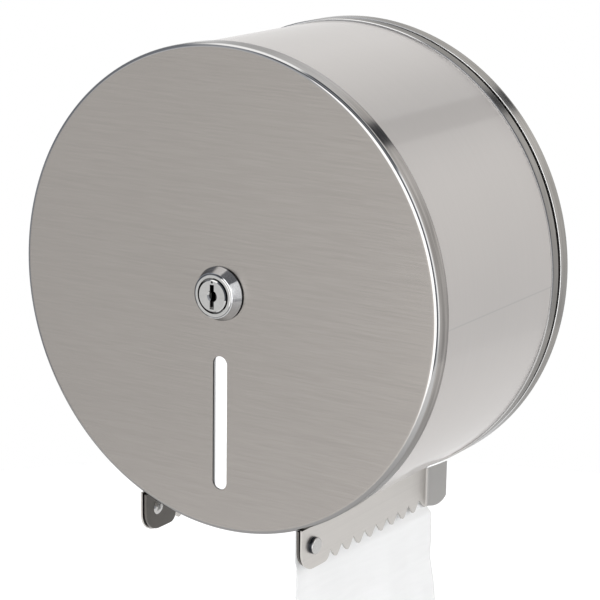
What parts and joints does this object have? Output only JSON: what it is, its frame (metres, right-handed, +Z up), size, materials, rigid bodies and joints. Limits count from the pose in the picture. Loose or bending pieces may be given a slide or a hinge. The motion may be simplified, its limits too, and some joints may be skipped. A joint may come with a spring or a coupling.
{
  "type": "jumbo toilet roll dispenser",
  "caption": "Round wall-hung toilet roll dispenser with a lockable steel drum cover, a level slot, a spindle with a wide roll and serrated tear blades below.",
  "frame": {"origin": "middle of the back plate's face that lies on the wall", "axes": "+Y into the wall, so the face looks along -Y; +Z up; +X to the right as seen from the front"},
  "size_m": [0.23, 0.1317, 0.305],
  "materials": {
    "brushed_face": "brushed across, satin",
    "satin_drum": "fine satin, brighter than the face",
    "plain_fittings": "mill finish",
    "rivet_steel": "smooth",
    "lock_chrome": "bright plate",
    "zinc_plate": "zinc plated",
    "opal_strip": "opal",
    "tissue": "soft two-ply tissue",
    "core_board": "grey-brown board"
  },
  "bodies": {
    "base": {"back_plate": "satin_drum", "spindle_flange": "plain_fittings", "spindle_tube": "plain_fittings", "spindle_end_cap": "plain_fittings", "spindle_rivets": "rivet_steel", "strike_bracket": "plain_fittings", "strike_rivets": "rivet_steel", "guide_tab_top": "plain_fittings", "guide_tab_left": "plain_fittings", "guide_tab_right": "plain_fittings", "guide_tab_rivets": "rivet_steel", "paper_tail": "tissue"},
    "roll": {"paper_roll": "tissue", "roll_core": "core_board"},
    "cover": {"front_panel": "brushed_face", "drum_band": "satin_drum", "rear_hoop": "satin_drum", "level_window": "opal_strip", "right_blade_bracket": "brushed_face", "left_blade_bracket": "brushed_face", "right_tear_blade": "brushed_face", "left_tear_blade": "brushed_face", "blade_spacers": "rivet_steel", "blade_rivets": "rivet_steel", "lock_barrel": "lock_chrome", "lock_washer": "zinc_plate", "lock_nut": "zinc_plate"},
    "lock": {"lock_plug": "lock_chrome", "lock_cam": "zinc_plate", "cam_washer": "zinc_plate", "cam_screw": "zinc_plate"}
  },
  "joints": [
    {"name": "cover_pull", "type": "slide", "parent": "base", "child": "cover", "axis": [0, -1, 0], "range_m": [0, 0.13]},
    {"name": "lock_turn", "type": "hinge", "parent": "cover", "child": "lock", "pos_m": [0, -0.125, 0], "axis": [0, -1, 0], "range_deg": [0, 90]},
    {"name": "roll_spin", "type": "hinge", "parent": "base", "child": "roll", "pos_m": [0, -0.062, -0.0052], "axis": [0, 1, 0], "continuous": true}
  ]
}
